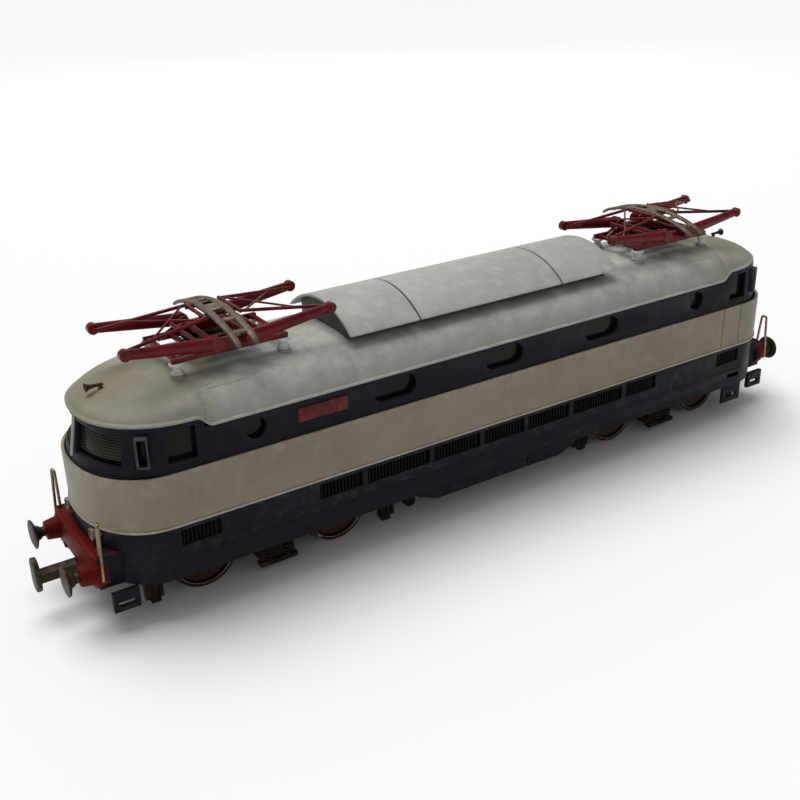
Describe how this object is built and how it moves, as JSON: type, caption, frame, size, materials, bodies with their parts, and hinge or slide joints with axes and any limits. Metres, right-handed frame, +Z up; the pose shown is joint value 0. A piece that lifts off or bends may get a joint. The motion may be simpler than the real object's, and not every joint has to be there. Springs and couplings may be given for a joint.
{
  "type": "model electric locomotive",
  "caption": "Model electric locomotive on two swivelling bogies, with rounded noses, two folding diamond pantographs, sprung buffers and couplers.",
  "frame": {"origin": "under the middle of the body, level with the bottom of the wheel flanges", "axes": "+X along the body towards the rear cab, +Y across, +Z up"},
  "size_m": [0.1996, 0.034, 0.0546],
  "materials": {
    "navy_paint": "satin moulded navy",
    "cream_paint": "satin grey cream",
    "roof_paint": "matt light grey",
    "dark_roof_paint": "matt mid grey",
    "grille_black": "matt black",
    "red_paint": "gloss red",
    "glazing": "clear moulded, brown tinted",
    "bright_trim": "bright",
    "lens": "clear",
    "blackened_metal": "chemically darkened",
    "insulator": "off white",
    "die_cast": "as cast",
    "board": "board with parts",
    "plated_steel": "plated",
    "copper_winding": "wound",
    "brass": "machined",
    "frame_plastic": "dark brown",
    "wheel_metal": "blackened, bright tyre",
    "panto_red": "gloss crimson",
    "bow_metal": "worn bronze"
  },
  "bodies": {
    "body": {"body_shell": "navy_paint", "waist_band": "cream_paint", "roof_shell": "roof_paint", "fairing_base": "dark_roof_paint", "fairing_panels": "roof_paint", "side_grilles": "grille_black", "nameplates": "red_paint", "cab_glazing": "glazing", "side_glazing": "glazing", "corner_window_frames": "bright_trim", "headlamp_rims": "bright_trim", "headlamp_lenses": "lens", "buffer_beams": "red_paint", "corner_steps": "navy_paint", "end_handrails": "blackened_metal", "roof_horns": "blackened_metal", "roof_insulators": "insulator", "chassis_frame": "die_cast", "centre_skirts": "navy_paint", "air_reservoirs": "grille_black", "ballast_weights": "die_cast", "circuit_board": "board", "cab_bulbs": "lens", "body_screws": "plated_steel", "rear_kingpin": "plated_steel", "coupler_pins": "plated_steel", "panto_frames": "red_paint", "panto_springs": "plated_steel"},
    "front_bogie": {"motor_block": "die_cast", "motor_can": "plated_steel", "front_bogie_frame": "frame_plastic", "front_pickups": "brass", "front_frame_screws": "plated_steel"},
    "rear_bogie": {"rear_bogie_block": "die_cast", "rear_bogie_frame": "frame_plastic", "rear_pickups": "brass", "rear_frame_screws": "plated_steel"},
    "armature": {"armature": "copper_winding"},
    "reduction_gear": {"reduction_gear": "brass"},
    "idler_gear": {"idler_gear": "brass"},
    "wheelset_1": {"wheelset_1": "wheel_metal"},
    "wheelset_2": {"wheelset_2": "wheel_metal"},
    "wheelset_3": {"wheelset_3": "wheel_metal"},
    "wheelset_4": {"wheelset_4": "wheel_metal"},
    "buffer_front_left": {"buffer_front_left": "blackened_metal"},
    "buffer_front_right": {"buffer_front_right": "blackened_metal"},
    "buffer_rear_left": {"buffer_rear_left": "blackened_metal"},
    "buffer_rear_right": {"buffer_rear_right": "blackened_metal"},
    "front_coupler": {"front_coupler": "blackened_metal"},
    "rear_coupler": {"rear_coupler": "blackened_metal"},
    "front_lower_arm_a": {"front_lower_arm_a": "panto_red"},
    "front_upper_arm_a": {"front_upper_arm_a": "panto_red"},
    "front_bow": {"front_bow": "bow_metal"},
    "front_lower_arm_b": {"front_lower_arm_b": "panto_red"},
    "front_upper_arm_b": {"front_upper_arm_b": "panto_red"},
    "rear_lower_arm_a": {"rear_lower_arm_a": "panto_red"},
    "rear_upper_arm_a": {"rear_upper_arm_a": "panto_red"},
    "rear_bow": {"rear_bow": "bow_metal"},
    "rear_lower_arm_b": {"rear_lower_arm_b": "panto_red"},
    "rear_upper_arm_b": {"rear_upper_arm_b": "panto_red"}
  },
  "joints": [
    {"name": "front_bogie_swivel", "type": "hinge", "parent": "body", "child": "front_bogie", "pos_m": [-0.0545, 0, 0.018], "axis": [0, 0, 1], "range_deg": [-6, 6]},
    {"name": "rear_bogie_swivel", "type": "hinge", "parent": "body", "child": "rear_bogie", "pos_m": [0.0545, 0, 0.014], "axis": [0, 0, 1], "range_deg": [-6, 6]},
    {"name": "wheelset_1_spin", "type": "hinge", "parent": "front_bogie", "child": "wheelset_1", "pos_m": [-0.0695, 0, 0.0077], "axis": [0, 1, 0], "continuous": true},
    {"name": "wheelset_2_spin", "type": "hinge", "parent": "front_bogie", "child": "wheelset_2", "pos_m": [-0.0395, 0, 0.0077], "axis": [0, 1, 0], "continuous": true},
    {"name": "idler_gear_spin", "type": "hinge", "parent": "front_bogie", "child": "idler_gear", "pos_m": [-0.0545, 0, 0.0157], "axis": [0, 1, 0], "continuous": true},
    {"name": "reduction_gear_spin", "type": "hinge", "parent": "front_bogie", "child": "reduction_gear", "pos_m": [-0.0458, 0, 0.0273], "axis": [0, 1, 0], "continuous": true},
    {"name": "armature_spin", "type": "hinge", "parent": "front_bogie", "child": "armature", "pos_m": [-0.0538, 0, 0.0333], "axis": [0, 1, 0], "continuous": true},
    {"name": "wheelset_3_spin", "type": "hinge", "parent": "rear_bogie", "child": "wheelset_3", "pos_m": [0.0395, 0, 0.0077], "axis": [0, 1, 0], "continuous": true},
    {"name": "wheelset_4_spin", "type": "hinge", "parent": "rear_bogie", "child": "wheelset_4", "pos_m": [0.0695, 0, 0.0077], "axis": [0, 1, 0], "continuous": true},
    {"name": "front_left_buffer_slide", "type": "slide", "parent": "body", "child": "buffer_front_left", "axis": [1, 0, 0], "range_m": [0, 0.0015], "stiffness_N_per_m": 60, "springref_m": -0.001},
    {"name": "front_right_buffer_slide", "type": "slide", "parent": "body", "child": "buffer_front_right", "axis": [1, 0, 0], "range_m": [0, 0.0015], "stiffness_N_per_m": 60, "springref_m": -0.001},
    {"name": "rear_left_buffer_slide", "type": "slide", "parent": "body", "child": "buffer_rear_left", "axis": [-1, 0, 0], "range_m": [0, 0.0015], "stiffness_N_per_m": 60, "springref_m": -0.001},
    {"name": "rear_right_buffer_slide", "type": "slide", "parent": "body", "child": "buffer_rear_right", "axis": [-1, 0, 0], "range_m": [0, 0.0015], "stiffness_N_per_m": 60, "springref_m": -0.001},
    {"name": "front_coupler_swing", "type": "hinge", "parent": "body", "child": "front_coupler", "pos_m": [-0.084, 0, 0.0086], "axis": [0, 0, 1], "range_deg": [-15, 15], "stiffness_Nm_per_rad": 0.0005},
    {"name": "rear_coupler_swing", "type": "hinge", "parent": "body", "child": "rear_coupler", "pos_m": [0.084, 0, 0.0086], "axis": [0, 0, 1], "range_deg": [-15, 15], "stiffness_Nm_per_rad": 0.0005},
    {"name": "front_panto_lift", "type": "hinge", "parent": "body", "child": "front_lower_arm_a", "pos_m": [-0.062, 0, 0.0498], "axis": [0, 1, 0], "range_deg": [0, 55]},
    {"name": "front_panto_elbow_a", "type": "hinge", "parent": "front_lower_arm_a", "child": "front_upper_arm_a", "pos_m": [-0.0794, 0, 0.0518], "axis": [0, 1, 0], "range_deg": [-110, 0]},
    {"name": "front_panto_bow_level", "type": "hinge", "parent": "front_upper_arm_a", "child": "front_bow", "pos_m": [-0.062, 0, 0.0538], "axis": [0, 1, 0], "range_deg": [0, 55]},
    {"name": "front_panto_arm_b", "type": "hinge", "parent": "body", "child": "front_lower_arm_b", "pos_m": [-0.055, 0, 0.0498], "axis": [0, 1, 0], "range_deg": [-55, 0]},
    {"name": "front_panto_elbow_b", "type": "hinge", "parent": "front_lower_arm_b", "child": "front_upper_arm_b", "pos_m": [-0.0376, 0, 0.0518], "axis": [0, 1, 0], "range_deg": [0, 110]},
    {"name": "rear_panto_lift", "type": "hinge", "parent": "body", "child": "rear_lower_arm_a", "pos_m": [0.055, 0, 0.0498], "axis": [0, 1, 0], "range_deg": [0, 55]},
    {"name": "rear_panto_elbow_a", "type": "hinge", "parent": "rear_lower_arm_a", "child": "rear_upper_arm_a", "pos_m": [0.0376, 0, 0.0518], "axis": [0, 1, 0], "range_deg": [-110, 0]},
    {"name": "rear_panto_bow_level", "type": "hinge", "parent": "rear_upper_arm_a", "child": "rear_bow", "pos_m": [0.055, 0, 0.0538], "axis": [0, 1, 0], "range_deg": [0, 55]},
    {"name": "rear_panto_arm_b", "type": "hinge", "parent": "body", "child": "rear_lower_arm_b", "pos_m": [0.062, 0, 0.0498], "axis": [0, 1, 0], "range_deg": [-55, 0]},
    {"name": "rear_panto_elbow_b", "type": "hinge", "parent": "rear_lower_arm_b", "child": "rear_upper_arm_b", "pos_m": [0.0794, 0, 0.0518], "axis": [0, 1, 0], "range_deg": [0, 110]}
  ],
  "couplings": [
    {"joint": "wheelset_2_spin", "follows": "wheelset_1_spin", "ratio": 1},
    {"joint": "idler_gear_spin", "follows": "wheelset_1_spin", "ratio": -0.41667},
    {"joint": "reduction_gear_spin", "follows": "wheelset_1_spin", "ratio": 2},
    {"joint": "armature_spin", "follows": "wheelset_1_spin", "ratio": -6},
    {"joint": "front_panto_elbow_a", "follows": "front_panto_lift", "ratio": -2},
    {"joint": "front_panto_bow_level", "follows": "front_panto_lift", "ratio": 1},
    {"joint": "front_panto_arm_b", "follows": "front_panto_lift", "ratio": -1},
    {"joint": "front_panto_elbow_b", "follows": "front_panto_lift", "ratio": 2},
    {"joint": "rear_panto_elbow_a", "follows": "rear_panto_lift", "ratio": -2},
    {"joint": "rear_panto_bow_level", "follows": "rear_panto_lift", "ratio": 1},
    {"joint": "rear_panto_arm_b", "follows": "rear_panto_lift", "ratio": -1},
    {"joint": "rear_panto_elbow_b", "follows": "rear_panto_lift", "ratio": 2}
  ]
}
